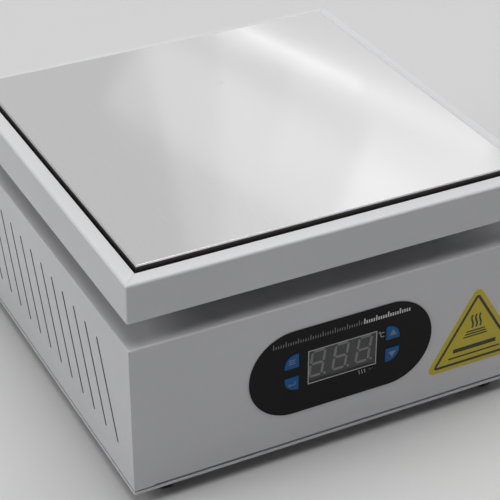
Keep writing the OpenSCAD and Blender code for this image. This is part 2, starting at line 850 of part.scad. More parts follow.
module board_standoffs() color("goldenrod") translate([panel_x, 0, panel_z])
    for (x = [-1, 1], z = [-1, 1]) translate([x * board_hole.x, 0, z * board_hole.y]) difference() {
        y_cylinder(standoff_d, front_y + sheet_t, board_y);
        y_cylinder(m3[0] + 2 * thread_play, front_y + sheet_t + standoff_floor, board_y + over);
    }

module board_screws() color("gainsboro") translate([panel_x, 0, panel_z])
    for (x = [-1, 1], z = [-1, 1]) translate([x * board_hole.x, board_y + board_t, z * board_hole.y])
        rotate([90, 0, 0]) screw_up(m3, board_screw_len);

module control_chip() color("black")
    translate([panel_x, board_y + board_t, panel_z + chip_z]) cube(chip_size);

module board_capacitors() color("midnightblue")
    for (x = capacitor_x) translate([panel_x + x, board_y + board_t, panel_z + capacitor_z])
        y_cylinder(capacitor_size.x, 0, capacitor_size.y);

module board_terminals() color("green") difference() {
    translate(board_block_at) cube(board_block_size);
    for (x = [board_way_pitch / 2:board_way_pitch:board_block_size.x])
        translate(board_block_at + [x, 0, 0]) {
            translate([0, board_block_size.y / 2, board_block_size.z + over - board_screw_hole.y])
                cylinder(d = board_screw_hole.x, h = board_screw_hole.y);
            translate([0, 0, board_way_z]) y_cylinder(
                board_wire_hole.x, board_block_size.y + over - board_wire_hole.y, board_block_size.y + over
            );
        }
}

module warning_sticker() color("gold")
    xz_slab(front_y - sticker_t, front_y) translate([sticker_x, sticker_z]) offset(r = sticker_r) polygon([
        [-sticker_base / 2, 0], [sticker_base / 2, 0], [0, sticker_rise]
    ]);

module transformer_core() color("slategray") translate([core_at.x, core_at.y, floor_z]) {
    difference() {
        translate([-core_size.x / 2, -core_size.y / 2, core_lift]) cube(core_size);
        for (side = [-1, 1])
            translate([side * (core_limb + core_window.x) / 2, 0, core_lift + core_size.z / 2])
                cube([core_window.x, 2 * core_size.y, core_window.y], center = true);
    }
    box([-strap_w / 2, -core_size.y / 2, 0], [strap_w / 2, core_size.y / 2, core_lift]);
}

module transformer_coil() color("orange") {
    outer = [core_limb + 2 * core_window.x - 2 * coil_gap, core_size.y + 2 * coil_reach];
    inner = [core_limb + 2 * coil_gap, core_size.y + 2 * coil_gap];
    z = floor_z + core_lift + (core_size.z - core_window.y) / 2 + coil_gap;
    translate([core_at.x, core_at.y, z]) linear_extrude(core_window.y - 2 * coil_gap) difference() {
        rect(outer);
        rect(inner);
    }
}

module solid_state_relay() color("dimgray") translate([relay_at.x, relay_at.y, floor_z]) difference() {
    translate([-relay_size.x / 2, -relay_size.y / 2, 0]) cube(relay_size);
    for (end = [-1, 1]) {
        translate([0, end * relay_size.y / 2, relay_size.z])
            cube([2 * relay_size.x, 2 * relay_ledge, 2 * relay_ledge_drop], center = true);
        translate([0, end * relay_screw_y, -over]) cylinder(d = m4[0] + 2 * loose, h = relay_size.z);
    }
}

module relay_screws() color("gainsboro") {
    top = floor_z + relay_size.z - relay_ledge_drop;
    for (end = [-1, 1]) {
        translate([relay_at.x, relay_at.y + end * relay_screw_y, top]) screw_down(m4, top - pan_z0);
        for (side = [-1, 1])
            translate([relay_at.x + side * relay_lug_x, relay_at.y + end * relay_screw_y, top])
                cylinder(d = lug_size.x, h = lug_size.y);
    }
}

module terminal_block() color("black") translate([block_at.x, block_at.y, floor_z]) {
    box([-block_size.x / 2, -block_size.y / 2, 0], [block_size.x / 2, block_size.y / 2, block_base_h]);
    for (i = [0:block_ways])
        translate([(i - block_ways / 2) * block_pitch - block_wall_t / 2, -block_size.y / 2, 0])
            cube([block_wall_t, block_size.y, block_wall_h]);
    translate([-block_size.x / 2, -block_wall_t / 2, 0]) cube([block_size.x, block_wall_t, block_wall_h]);
}

module terminal_screws() color("gold")
    for (i = [0:block_ways - 1], end = [-1, 1])
        translate([
            block_at.x + (i - (block_ways - 1) / 2) * block_pitch, block_at.y + end * block_screw_y,
            floor_z + block_base_h
        ])
            cylinder(d = lug_size.x, h = lug_size.y);

module earth_stud() color("goldenrod") translate([stud_at.x, stud_at.y, 0]) {
    translate([0, 0, pan_z0 + hair]) cylinder(d = m4[0], h = stud_h);
    for (z = [floor_z, floor_z + stud_nut_gap]) translate([0, 0, z]) nut(m4[0], m4_nut.x, m4_nut.y);
}

// The socket's outline: a rectangle with its two upper corners bevelled
module socket_outline() {
    half = socket_size / 2;
    polygon([
        [-half.x, -half.y], [half.x, -half.y], [half.x, half.y - socket_bevel],
        [half.x - socket_bevel, half.y], [socket_bevel - half.x, half.y], [-half.x, half.y - socket_bevel]
    ]);
}

// The three pins' places: two below, one above between them
pin_places = [[-pin_x, socket_z - pin_z], [pin_x, socket_z - pin_z], [0, socket_z + pin_z]];

module inlet_flange_outline() {
    half = inlet_body_size / 2 + inlet_rim;
    tip = [inlet_ears.x / 2, inlet_ear_tip];
    polygon([
        [-half.x, -half.y], [half.x, -half.y], [tip.x, -tip.y], tip, half, [-half.x, half.y],
        [-tip.x, tip.y], -tip
    ]);
}

module inlet_body() color("black") translate([inlet_x, 0, inlet_z]) difference() {
    union() {
        xz_slab(rear_y, inlet_face) inlet_flange_outline();
        xz_slab(rear_y - inlet_depth, rear_y + over) rect(inlet_body_size);
    }
    xz_slab(inlet_face - socket_depth, inlet_face + over) translate([0, socket_z]) socket_outline();
    for (place = pin_places)
        xz_slab(rear_y - inlet_depth - over, inlet_face) translate(place)
            rect(pin_size + 2 * [thread_play, thread_play]);
    xz_slab(inlet_face - drawer_len - 1, inlet_face + over)
        translate([0, drawer_z]) rect(drawer_size + 2 * [drawer_play, drawer_play]);
    xz_slab(inlet_face - drawer_face_t - hair, inlet_face + over)
        translate([0, drawer_z]) rect(drawer_face + 2 * [drawer_play, drawer_play]);
    for (side = [-1, 1]) translate([side * inlet_screw_x, 0, 0]) {
        y_cylinder(m3[0] + 2 * loose, rear_y - over, inlet_face + over);
        translate([0, inlet_face + flat_head_sunk - countersink[2], 0]) rotate([-90, 0, 0])
            cylinder(d1 = countersink[0], d2 = countersink[1], h = countersink[2]);
    }
}

module inlet_pins() color("goldenrod") translate([inlet_x, 0, inlet_z])
    for (place = pin_places)
        xz_slab(rear_y - inlet_depth - pin_tail, inlet_face - pin_sunk) translate(place) rect(pin_size);

module inlet_screws() color("gainsboro")
    for (side = [-1, 1]) translate([inlet_x + side * inlet_screw_x, 0, inlet_z]) {
        difference() {
            union() {
                y_cylinder(flat_head[0], rear_y - sheet_t - inlet_screw_in, inlet_face - flat_head_sunk);
                translate([0, inlet_face - flat_head[2], 0]) rotate([-90, 0, 0])
                    cylinder(d1 = flat_head[0], d2 = flat_head[1], h = flat_head[2]);
            }
            for (turn = [0, 90])
                translate([0, inlet_face, 0]) rotate([0, turn, 0]) cube(cross_slot, center = true);
        }
        translate([0, rear_y - sheet_t, 0]) rotate([90, 0, 0]) nut(m3[0], m3_nut.x, m3_nut.y);
    }

module fuse_drawer() color([0.15, 0.15, 0.16]) translate([inlet_x, 0, inlet_z + drawer_z]) difference() {
    union() {
        xz_slab(inlet_face - drawer_len, inlet_face) rect(drawer_size);
        xz_slab(inlet_face - drawer_face_t, inlet_face) rect(drawer_face);
    }
    for (depth = fuse_depths) translate([0, inlet_face - drawer_len + depth, 0]) box(
        [-fuse_len / 2, -fuse_d / 2, -fuse_d / 2] - fuse_play * [1, 1, 1],
        [fuse_len / 2, fuse_d / 2, drawer_size.y] + fuse_play * [1, 1, 0]
    );
    translate([-finger_slot.x / 2, inlet_face - finger_slot.y, finger_z])
        cube([finger_slot.x, finger_slot.y + over, finger_slot.z]);
}

module fuse_tubes() color([0.8, 0.9, 0.95, 0.6])
    for (depth = fuse_depths)
        translate([inlet_x, inlet_face - drawer_len + depth, inlet_z + drawer_z])
            rotate([0, 90, 0]) cylinder(d = fuse_glass_d, h = fuse_len - 2 * fuse_cap_len, center = true);

module fuse_caps() color("silver")
    for (depth = fuse_depths, x = [-fuse_len / 2, fuse_len / 2 - fuse_cap_len])
        translate([inlet_x + x, inlet_face - drawer_len + depth, inlet_z + drawer_z])
            rotate([0, 90, 0]) cylinder(d = fuse_d, h = fuse_cap_len);

module switch_housing() color("black") translate([switch_x, 0, inlet_z]) difference() {
    union() {
        xz_slab(rear_y, rear_y + bezel_t) rect(bezel_size);
        xz_slab(rear_y - switch_depth, rear_y + over / 2) rect(switch_size);
    }
    xz_slab(rear_y - switch_depth + switch_floor, rear_y + bezel_t + over)
        rect([rocker_w, 2 * rocker_r] + switch_well_play);
    translate([0, pivot_y, 0]) rotate([0, 90, 0])
        cylinder(d = pivot_d + 2 * pivot_play, h = rocker_w + 2 * pivot_out + loose, center = true);
}

// The rocker's section in Y and Z about its pivot, before it is tilted
module rocker_section() {
    rise = rocker_low + rocker_r * tan(rocker_a);
    intersection() {
        circle(rocker_r, $fn = 96);
        polygon([
            [-rocker_back, -rocker_r], [rise, -rocker_r], [rocker_low, 0], [rise, rocker_r],
            [-rocker_back, rocker_r]
        ]);
    }
    translate([-rocker_stem.x, -rocker_stem.y / 2]) square([rocker_stem.x, rocker_stem.y]);
}

module power_rocker() color([0.08, 0.08, 0.08])
    translate([switch_x, pivot_y, inlet_z]) rotate([-rocker_a, 0, 0]) {
        yz_slab(-rocker_w / 2, rocker_w / 2) rocker_section();
        rotate([0, 90, 0]) cylinder(d = pivot_d, h = rocker_w + 2 * pivot_out, center = true);
    }

module switch_terminals() color("gold") translate([switch_x, 0, inlet_z])
    for (side = [-1, 1], end = [-1, 1])
        xz_slab(rear_y - switch_depth - blade_len, rear_y - switch_depth)
            translate([side * blade_x, end * blade_z]) rect(blade_size);

// The unit vector along v
function unit(v) = v / norm(v);

// The direction of a route at its point i
function heading(route, i) =
    unit(route[min(i + 1, len(route) - 1)] - route[max(i - 1, 0)]);

// A ring of points about p, square to the direction way
function ring(p, way, r) =
    let (u = unit(cross(way, wire_side_hint)), v = cross(way, u))
    [for (k = [0:wire_sides - 1]) p + r * (cos(k * 360 / wire_sides) * u + sin(k * 360 / wire_sides) * v)];

// A round wire of radius r along a route
module wire(route, r) {
    last = len(route) - 1;
    n = wire_sides;
    points = [for (i = [0:last]) each ring(route[i], heading(route, i), r)];
    sides = [
        for (i = [0:last - 1], k = [0:n - 1])
            let (a = i * n + k, b = i * n + (k + 1) % n)
                each [[a, a + n, b], [b, a + n, b + n]]
    ];
    ends = [[for (k = [0:n - 1]) k], [for (k = [n - 1:-1:0]) last * n + k]];
    polyhedron(points, concat(sides, ends));
}

module supply_wires() color("saddlebrown") {
    wire(route_inlet_to_switch_live, mains_r);
    wire(route_inlet_to_switch_neutral, mains_r);
    wire(route_switch_to_block_live, mains_r);
    wire(route_switch_to_block_neutral, mains_r);
    wire(route_block_to_relay, mains_r);
}

module earth_wires() color("yellowgreen") {
    wire(route_inlet_to_stud, mains_r);
    wire(route_stud_to_plate, mains_r);
}

module heater_leads() color("white") {
    wire(route_block_to_heater, mains_r);
    wire(route_heater_to_cutout, mains_r);
    wire(route_cutout_to_relay, mains_r);
}

module sensor_lead() color("lightgray") wire(route_sensor, sensor_r);

module relay_wires() color("red") {
    wire(route_relay_minus, signal_r);
    wire(route_relay_plus, signal_r);
}

module board_wires() color("blue") {
    wire(route_coil_to_board_a, signal_r);
    wire(route_coil_to_board_b, signal_r);
    wire(route_block_to_coil_a, signal_r);
    wire(route_block_to_coil_b, signal_r);
}

heating_plate();
heater_element();
heater_clamp_plate();
clamp_screws();
insulation_pad();
top_frame();
heat_shield_tray();
tray_screws();
plate_standoffs();
support_pillars();
pillar_bolts();
lead_conduit();
thermal_cutout();
temperature_probe();
body_shell();
base_plate();
base_screws();
rubber_feet();
foot_screws();
control_overlay();
display_window();
display_module();
display_digits();
menu_key();
set_key();
up_key();
down_key();
key_switches();
output_light();
control_board();
board_standoffs();
board_screws();
control_chip();
board_capacitors();
board_terminals();
warning_sticker();
transformer_core();
transformer_coil();
solid_state_relay();
relay_screws();
terminal_block();
terminal_screws();
earth_stud();
inlet_body();
inlet_pins();
inlet_screws();
fuse_drawer();
fuse_tubes();
fuse_caps();
switch_housing();
power_rocker();
switch_terminals();
supply_wires();
earth_wires();
heater_leads();
sensor_lead();
relay_wires();
board_wires();
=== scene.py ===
"""Looks, light and camera for the flat constant-temperature heating platform.

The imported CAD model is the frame. This script gives its nodes their finishes, adds the printed
graphics on the control panel, the warning sticker and the power rocker, and sets up a plain studio.
"""

import json
import math

import bmesh
import bpy
from mathutils import Matrix, Vector


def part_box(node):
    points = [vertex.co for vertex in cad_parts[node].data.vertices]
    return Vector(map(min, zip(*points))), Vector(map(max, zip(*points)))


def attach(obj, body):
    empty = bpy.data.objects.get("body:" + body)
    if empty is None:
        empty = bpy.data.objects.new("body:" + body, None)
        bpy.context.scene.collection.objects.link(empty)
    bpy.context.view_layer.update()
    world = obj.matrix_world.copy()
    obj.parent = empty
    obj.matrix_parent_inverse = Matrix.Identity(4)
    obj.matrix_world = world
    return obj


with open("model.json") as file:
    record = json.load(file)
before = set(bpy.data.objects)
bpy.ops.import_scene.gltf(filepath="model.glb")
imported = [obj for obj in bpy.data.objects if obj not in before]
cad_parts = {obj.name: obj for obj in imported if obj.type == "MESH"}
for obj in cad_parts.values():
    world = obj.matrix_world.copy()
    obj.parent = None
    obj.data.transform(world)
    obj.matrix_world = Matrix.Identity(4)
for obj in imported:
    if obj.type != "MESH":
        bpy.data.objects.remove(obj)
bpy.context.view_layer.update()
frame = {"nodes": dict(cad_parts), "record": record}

MM = 0.001
SUBPARTS = {part["node"]: part["material_slot"] for part in frame["record"]["subparts"]}


# ---------------------------------------------------------------- material nodes


def add(tree, kind, inputs=None, **settings):
    """Adds a shader node, sets its options, and fills its inputs with values or links."""
    made = tree.nodes.new("ShaderNode" + kind)
    for key, value in settings.items():
        setattr(made, key, value)
    for key, value in (inputs or {}).items():
        if isinstance(value, bpy.types.NodeSocket):
            tree.links.new(value, made.inputs[key])
        else:
            made.inputs[key].default_value = value
    return made


def place(tree, stretch=(1, 1, 1), turn=(0, 0, 0), shift=(0, 0, 0)):
    """Object coordinates in metres, stretched, turned and shifted."""
    where = add(tree, "TexCoord").outputs["Object"]
    return add(
        tree, "Mapping", {"Vector": where, "Scale": stretch, "Rotation": turn, "Location": shift}
    ).outputs["Vector"]


def noise(tree, scale, detail=3.0, stretch=(1, 1, 1), turn=(0, 0, 0), shift=(0, 0, 0)):
    """Fractal noise, 0 to 1, with scale features in a metre."""
    where = place(tree, stretch, turn, shift)
    return add(
        tree, "TexNoise", {"Vector": where, "Scale": scale, "Detail": detail, "Roughness": 0.55}
    ).outputs["Fac"]


def spread(tree, value, low, high, start=0.3, end=0.7):
    """Maps value from start..end to low..high."""
    return add(
        tree,
        "MapRange",
        {"Value": value, "From Min": start, "From Max": end, "To Min": low, "To Max": high},
    ).outputs["Result"]


def blend_colour(tree, factor, first, second):
    """A colour between first and second. Each is a colour or a socket."""
    mix = add(tree, "Mix", data_type="RGBA")
    tree.links.new(factor, mix.inputs["Factor"])
    for socket, colour in ((mix.inputs[6], first), (mix.inputs[7], second)):
        if isinstance(colour, bpy.types.NodeSocket):
            tree.links.new(colour, socket)
        else:
            socket.default_value = (*colour, 1)
    return mix.outputs[2]


def bumps(tree, layers):
    """Stacks bump layers of (height, distance in millimetres, strength) into one normal."""
    normal = None
    for height, depth, strength in layers:
        inputs = {"Height": height, "Distance": depth * MM, "Strength": strength}
        if normal:
            inputs["Normal"] = normal
        normal = add(tree, "Bump", inputs).outputs["Normal"]
    return normal


def maths(tree, operation, *values):
    """One Math node."""
    return add(tree, "Math", dict(enumerate(values)), operation=operation).outputs["Value"]


def parts_of(tree, vector):
    """The X, Y and Z of a vector."""
    return add(tree, "SeparateXYZ", {"Vector": vector}).outputs


def start_material(name, **sockets):
    """A material with a Principled shader, and constant values set on the shader's own sockets."""
    material = bpy.data.materials.new(name)
    material.use_nodes = True
    tree = material.node_tree
    shader = tree.nodes["Principled BSDF"]
    for key, value in sockets.items():
        shader.inputs[key.replace("_", " ")].default_value = value
    return material, tree, shader


def connect(tree, shader, **sockets):
    """Links outputs to the shader's inputs."""
    for key, value in sockets.items():
        tree.links.new(value, shader.inputs[key.replace("_", " ")])


def surface(
    name,
    colour,
    shade,
    roughness,
    patch=35.0,
    grain=900.0,
    stretch=(1, 1, 1),
    depth=0.02,
    strength=0.3,
    **sockets,
):
    """A finish with soft patches of shade, and a fine grain in gloss and relief.

    patch and grain are how many features a metre holds, and depth is the relief in millimetres.
    """
    material, tree, shader = start_material(name, **sockets)
    patches = noise(tree, patch, 4.0)
    fine = noise(tree, grain, 3.0, stretch)
    tint = blend_colour(tree, spread(tree, patches, 0, 1), colour, shade)
    low, high = roughness
    gloss = maths(
        tree,
        "ADD",
        spread(tree, patches, low, (low + high) / 2),
        spread(tree, fine, 0, (high - low) / 2),
    )
    normal = bumps(tree, [(fine, depth, strength)])
    connect(tree, shader, Base_Color=tint, Roughness=gloss, Normal=normal)
    return material


def ground_plate():
    """The heating plate: finely ground aluminium, a few pits, duller milled edges and sides, and
    painted shade on those edges and sides.
    """
    material, tree, shader = start_material("plate_metal", Metallic=1.0, Anisotropic=0.3)
    lines = noise(tree, 2600, 2.0, stretch=(1, 0.06, 1))
    cross = noise(tree, 2200, 2.0, stretch=(0.06, 1, 1), shift=(1, 2, 0))
    smudges = noise(tree, 14, 5.0, shift=(0.4, 0.2, 0))
    specks = noise(tree, 520, 0.0, shift=(5, 3, 1))
    speckled = noise(tree, 40, 0.0, shift=(2, 6, 1))
    pits = maths(
        tree,
        "MULTIPLY",
        spread(tree, specks, 0, 0.3, start=0.76, end=0.82),
        spread(tree, speckled, 0, 1, start=0.76, end=0.78),
    )

    # The top faces straight up, the chamfers slant and the sides are upright
    facing = parts_of(tree, add(tree, "NewGeometry").outputs["Normal"])["Z"]
    shadowed_side = spread(tree, facing, 1, 0, start=0.2, end=0.6)
    edge = spread(tree, facing, 1, 0, start=0.9, end=0.995)

    ground = ((0.82, 0.82, 0.815), (0.84, 0.84, 0.835))
    base = blend_colour(tree, spread(tree, lines, 0, 1), *ground)
    # Painted shade: the chamfers are painted a darker grey, and the upright sides near black for
    # the shadow in the gap round the plate. The pits are real marks
    for part, colour in (
        (pits, (0.4, 0.39, 0.37)),
        (edge, (0.6, 0.59, 0.61)),
        (shadowed_side, (0.075, 0.072, 0.064)),
    ):
        base = blend_colour(tree, part, base, colour)

    edge_dullness = 0.48
    polish = maths(
        tree, "ADD", spread(tree, smudges, 0.08, 0.10), spread(tree, lines, 0, 0.02)
    )
    gloss = maths(tree, "ADD", polish, maths(tree, "MULTIPLY", edge, edge_dullness))
    normal = bumps(tree, [(lines, 0.002, 0.03), (cross, 0.002, 0.03)])
    connect(tree, shader, Base_Color=base, Roughness=gloss, Normal=normal)
    return material


# The body's inside is painted near black between these heights and within this distance from the
# middle, in mm. This is painted shade, for the dark seen through the vents
SHADED_BELOW = 88.6
SHADED_ABOVE = 10.9
SHADED_WITHIN = 108.9


def powder_coat():
    """White powder coat on sheet steel, with orange peel, and painted shade: near black on the
    body's inside faces.
    """
    material, tree, shader = start_material("white_paint", IOR=1.5)
    coat = ((0.62, 0.62, 0.635), (0.59, 0.59, 0.604))
    painted_shade = (0.05, 0.05, 0.052)
    peel = noise(tree, 420, 2.0)
    fine = noise(tree, 2600, 1.0, shift=(1, 1, 1))
    patches = noise(tree, 9, 3.0)
    base = blend_colour(tree, spread(tree, patches, 0, 1), *coat)
    where = parts_of(tree, place(tree))
    inside = maths(
        tree,
        "MULTIPLY",
        maths(tree, "LESS_THAN", where["Z"], SHADED_BELOW * MM),
        maths(tree, "GREATER_THAN", where["Z"], SHADED_ABOVE * MM),
    )
    for axis in ("X", "Y"):
        reach = maths(tree, "ABSOLUTE", where[axis])
        within = maths(tree, "LESS_THAN", reach, SHADED_WITHIN * MM)
        inside = maths(tree, "MULTIPLY", inside, within)
    # Painted shade: the inside faces are near black for the shadow in the body, seen through the
    # vents
    base = blend_colour(tree, inside, base, painted_shade)
    gloss = spread(tree, patches, 0.36, 0.44)
    normal = bumps(tree, [(peel, 0.05, 0.12), (fine, 0.02, 0.15)])
    connect(tree, shader, Base_Color=base, Roughness=gloss, Normal=normal)
    return material


def circuit_board():
    """Green solder mask with fine copper tracks showing through."""
    material, tree, shader = start_material("board_green", Coat_Weight=0.3)
    mask = ((0.012, 0.11, 0.045), (0.02, 0.15, 0.07))
    track = (0.05, 0.25, 0.12)
    upright = place(tree, turn=(math.pi / 2, 0, 0))
    tracks = add(tree, "TexBrick", {"Vector": upright, "Scale": 160.0}).outputs["Fac"]
    cloud = add(
        tree, "TexNoise", {"Vector": place(tree), "Scale": 60.0, "Detail": 3.0}
    ).outputs["Fac"]
    base = blend_colour(tree, spread(tree, cloud, 0, 1), *mask)
    connect(
        tree,
        shader,
        Base_Color=blend_colour(tree, tracks, base, track),
        Roughness=spread(tree, cloud, 0.3, 0.4),
        Normal=bumps(tree, [(tracks, 0.03, 0.3)]),
    )
    return material


# A wave texture's phase grows by this much for each unit of its scale times length
WAVE_PHASE = 20


def banded(name, colour, gap, pitch, axis, roughness, metallic, depth):
    """Windings or laminations: rounded bands across one axis, pitch and depth in millimetres."""
    material, tree, shader = start_material(name, Metallic=metallic)
    bands = add(
        tree,
        "TexWave",
        {
            "Vector": place(tree),
            "Scale": 2 * math.pi / (WAVE_PHASE * pitch * MM),
            "Distortion": 0.4,
            "Detail": 1.0,
        },
        wave_type="BANDS",
        bands_direction=axis,
    ).outputs["Fac"]
    cloud = noise(tree, 50, 3.0)
    connect(
        tree,
        shader,
        Base_Color=blend_colour(tree, bands, gap, colour),
        Roughness=spread(tree, cloud, *roughness),
        Normal=bumps(tree, [(bands, depth, 0.6)]),
    )
    return material


def smoked_window():
    """Smoked acrylic in front of the digits."""
    material, tree, shader = start_material("smoke_window", IOR=1.49)
    cloud = noise(tree, 120, 3.0)
    scratches = noise(tree, 900, 2.0, stretch=(0.2, 1, 1))
    connect(
        tree,
        shader,
        Base_Color=blend_colour(tree, cloud, (0.06, 0.06, 0.064), (0.07, 0.07, 0.074)),
        Roughness=spread(tree, scratches, 0.1, 0.16),
        Alpha=spread(tree, cloud, 0.2, 0.23),
        Normal=bumps(tree, [(scratches, 0.003, 0.06)]),
    )
    return material


def sleeve_glass():
    """The fuse tubes: clear glass with faint streaks."""
    material, tree, shader = start_material("clear_glass", Transmission_Weight=1.0, IOR=1.5)
    cloud = noise(tree, 300, 2.0)
    connect(
        tree,
        shader,
        Base_Color=blend_colour(tree, cloud, (0.9, 0.95, 0.95), (0.97, 1.0, 0.99)),
        Roughness=spread(tree, cloud, 0.01, 0.05),
        Normal=bumps(tree, [(cloud, 0.01, 0.1)]),
    )
    return material


def plain_finishes():
    """The finishes that share one recipe.

    Each has a name, colour, shade, range of roughness, and the scales of its patches and its grain.
    """
    metal = {"Metallic": 1.0}
    return [
        surface("mica", (0.42, 0.33, 0.2), (0.3, 0.22, 0.12), (0.35, 0.6), 120, 700),
        surface("ceramic_wool", (0.82, 0.81, 0.77), (0.7, 0.69, 0.64), (0.9, 1.0), 90, 500,
                depth=0.6, strength=0.7),
        surface("bare_steel", (0.66, 0.66, 0.67), (0.56, 0.56, 0.58), (0.28, 0.45), 30, 1200,
                stretch=(0.06, 1, 1), depth=0.01, **metal),
        surface("zinc_steel", (0.62, 0.63, 0.64), (0.5, 0.52, 0.55), (0.22, 0.4), 250, 1600,
                depth=0.01, **metal),
        surface("black_rubber", (0.018, 0.018, 0.019), (0.03, 0.03, 0.03), (0.65, 0.85), 90, 1500,
                depth=0.03),
        surface("overlay_black", (0.0055, 0.0055, 0.0058), (0.007, 0.007, 0.0073), (0.34, 0.44),
                25, 3000, depth=0.01, strength=0.25, Specular_IOR_Level=0.12),
        surface("module_plastic", (0.115, 0.115, 0.117), (0.125, 0.125, 0.127), (0.4, 0.5),
                90, 1400, depth=0.01, strength=0.2),
        surface("segment_grey", (0.5, 0.5, 0.5), (0.46, 0.46, 0.46), (0.4, 0.5), 260, 1800,
                depth=0.01, strength=0.2),
        surface("key_blue", (0.002, 0.105, 0.29), (0.002, 0.09, 0.255), (0.28, 0.4), 180, 2600,
                depth=0.01, Specular_IOR_Level=0.2),
        surface("red_lens", (0.035, 0.008, 0.007), (0.05, 0.01, 0.009), (0.06, 0.12), 300, 900,
                Transmission_Weight=0.3),
        surface("black_plastic", (0.02, 0.02, 0.021), (0.028, 0.028, 0.03), (0.38, 0.55), 70, 1500,
                depth=0.03),
        surface("rocker_plastic", (0.014, 0.014, 0.015), (0.02, 0.02, 0.021), (0.2, 0.34), 90, 2000,
                depth=0.01),
        surface("brass", (0.72, 0.53, 0.24), (0.6, 0.42, 0.18), (0.22, 0.4), 220, 1500,
                depth=0.01, **metal),
        surface("capacitor_sleeve", (0.03, 0.035, 0.09), (0.02, 0.024, 0.06), (0.25, 0.4),
                200, 1200),
        surface("terminal_green", (0.02, 0.2, 0.07), (0.015, 0.15, 0.05), (0.35, 0.5), 150, 1200),
        surface("sticker_yellow", (0.58, 0.475, 0.02), (0.53, 0.43, 0.018), (0.3, 0.42), 60, 2200,
                depth=0.01, strength=0.2, Specular_IOR_Level=0.3),
        surface("relay_grey", (0.3, 0.3, 0.31), (0.24, 0.24, 0.25), (0.45, 0.6), 80, 1200),
        surface("cap_nickel", (0.62, 0.6, 0.55), (0.5, 0.48, 0.44), (0.15, 0.3), 300, 1500,
                **metal),
        surface("wire_brown", (0.12, 0.05, 0.025), (0.09, 0.038, 0.02), (0.35, 0.5), 90, 1500),
        surface("wire_earth", (0.35, 0.42, 0.04), (0.2, 0.32, 0.04), (0.35, 0.5), 90, 1500),
        surface("wire_white", (0.68, 0.66, 0.6), (0.56, 0.54, 0.48), (0.5, 0.7), 200, 2200,
                stretch=(1, 1, 0.3), depth=0.05),
        surface("wire_grey", (0.3, 0.3, 0.31), (0.22, 0.22, 0.23), (0.4, 0.55), 90, 1500),
        surface("wire_red", (0.38, 0.02, 0.015), (0.3, 0.015, 0.012), (0.35, 0.5), 90, 1500),
        surface("wire_blue", (0.02, 0.06, 0.3), (0.015, 0.045, 0.24), (0.35, 0.5), 90, 1500),
    ]


# Printing inks: colour and shade
INKS = {
    "ink_white": ((0.7, 0.7, 0.7), (0.6, 0.6, 0.6)),
    "ink_grey": ((0.2, 0.2, 0.2), (0.15, 0.15, 0.15)),
    # A near-black ink for the painted shadow inside the display window
    "ink_painted_shadow": ((0.02, 0.02, 0.02), (0.028, 0.028, 0.028)),
    "ink_border": ((0.5, 0.5, 0.5), (0.43, 0.43, 0.43)),
    "ink_soft": ((0.38, 0.38, 0.38), (0.32, 0.32, 0.32)),
    "ink_key": ((0.14, 0.2, 0.32), (0.12, 0.17, 0.28)),
    "ink_key_dim": ((0.12, 0.21, 0.36), (0.1, 0.18, 0.33)),
    "ink_black": ((0.012, 0.012, 0.012), (0.02, 0.02, 0.02)),
    "ink_mark": ((0.6, 0.6, 0.6), (0.52, 0.52, 0.52)),
}


def ink(name, colour, shade):
    """Screen-printing ink: slightly uneven, with a fine grain."""
    return surface(name, colour, shade, (0.4, 0.55), 400, 2600, depth=0.01)


def make_finishes():
    """Every finish by the name of its material slot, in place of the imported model's flat ones."""
    for packed in list(bpy.data.materials):
        bpy.data.materials.remove(packed)
    finishes = plain_finishes() + [
        ground_plate(),
        powder_coat(),
        circuit_board(),
        smoked_window(),
        sleeve_glass(),
        banded("coil_tape", (0.55, 0.42, 0.1), (0.3, 0.2, 0.05), 1.1, "Z", (0.3, 0.45), 0.0, 0.2),
        banded("core_steel", (0.3, 0.3, 0.31), (0.12, 0.12, 0.13), 0.7, "X", (0.35, 0.55), 1.0,
               0.1),
        *(ink(name, colour, shade) for name, (colour, shade) in INKS.items()),
    ]
    return {material.name: material for material in finishes}


# ---------------------------------------------------------------- CAD nodes

# Nodes with edges that catch the light, and the width of their bevels in millimetres
BEVELS = {
    "heating_plate": 0.18,
    "body_shell": 0.25,
    "base_plate": 0.3,
    "top_frame": 0.2,
    "control_overlay": 0.1,
    "display_module": 0.2,
    "menu_key": 0.15,
    "set_key": 0.15,
    "up_key": 0.15,
    "down_key": 0.15,
    "inlet_body": 0.35,
    "fuse_drawer": 0.3,
    "switch_housing": 0.35,
    "power_rocker": 0.3,
    "relay_screws": 0.15,
    "solid_state_relay": 0.4,
    "terminal_block": 0.3,
    "rubber_feet": 0.4,
}


# Corners closer than this in millimetres are one, faces within this many degrees are one flat
# face, and edges sharper than this many degrees are rounded
SAME_CORNER = 0.01
SAME_FACE = 0.5
HARD_EDGE = 40


def soften_edges(item, width):
    """Rounds a node's hard edges by modifiers, so its own mesh stays as packed."""
    weld = item.modifiers.new("weld", "WELD")
    weld.merge_threshold = SAME_CORNER * MM
    flat = item.modifiers.new("flat", "DECIMATE")
    flat.decimate_type = "DISSOLVE"
    flat.angle_limit = math.radians(SAME_FACE)
    bevel = item.modifiers.new("bevel", "BEVEL")
    bevel.width = width * MM
    bevel.segments = 2
    bevel.limit_method = "ANGLE"
    bevel.angle_limit = math.radians(HARD_EDGE)
    bevel.harden_normals = True
    bevel.use_clamp_overlap = True


def finish_nodes(finishes):
    """Gives every CAD node the finish of its slot."""
    for name, item in frame["nodes"].items():
        item.data.materials.clear()
        item.data.materials.append(finishes[SUBPARTS[name]])
    for name, width in BEVELS.items():
        soften_edges(frame["nodes"][name], width)


# ---------------------------------------------------------------- printed graphics

# A graphic is a list of flat outlines of (across, up) points in millimetres, and becomes a thin
# raised print. Prints are this thick, and start a little inside what they are printed on.
INK = 0.03
INK_SUNK = 0.05


